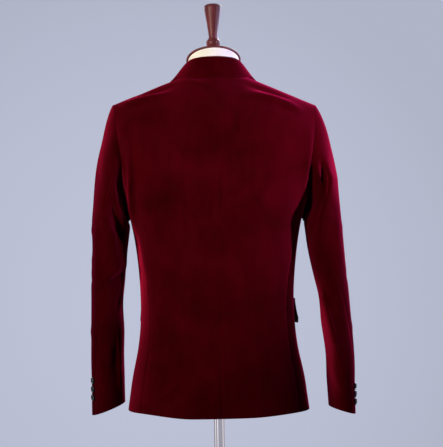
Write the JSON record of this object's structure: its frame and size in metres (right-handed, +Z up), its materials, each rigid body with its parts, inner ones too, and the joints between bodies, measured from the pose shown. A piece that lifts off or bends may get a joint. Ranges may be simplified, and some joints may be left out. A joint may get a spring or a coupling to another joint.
{
  "type": "blazer on a dress form",
  "caption": "Slim burgundy velvet blazer with notched lapels, pocket flaps and set-in sleeves, draped on a limbless dress form with a wooden finial, chrome pole and round base.",
  "frame": {"origin": "centre of the base's underside, on the floor under the pole", "axes": "+Z up along the pole, -Y towards the blazer's front, +X towards the wearer's left"},
  "size_m": [0.5616, 0.34, 1.5877],
  "materials": {
    "velvet": "burgundy velvet with a short pile and a bright sheen at the edges",
    "button_black": "glossy black",
    "form_white": "white cloth cover, matte",
    "dark_wood": "dark stain, satin",
    "chrome": "polished",
    "base_black": "black, satin"
  },
  "bodies": {
    "root": {"back_left": "velvet", "back_right": "velvet", "side_left": "velvet", "side_right": "velvet", "front_left": "velvet", "front_right": "velvet", "lapel_left": "velvet", "lapel_right": "velvet", "flap_left": "velvet", "flap_right": "velvet", "collar": "velvet", "collar_stand": "velvet", "top_sleeve_left": "velvet", "top_sleeve_right": "velvet", "under_sleeve_left": "velvet", "under_sleeve_right": "velvet", "cuff_button_left_1": "button_black", "cuff_button_left_2": "button_black", "cuff_button_left_3": "button_black", "cuff_button_right_1": "button_black", "cuff_button_right_2": "button_black", "cuff_button_right_3": "button_black", "front_button": "button_black", "form_body": "form_white", "neck_cap": "dark_wood", "finial": "dark_wood", "pole": "chrome", "base": "base_black"}
  },
  "joints": []
}
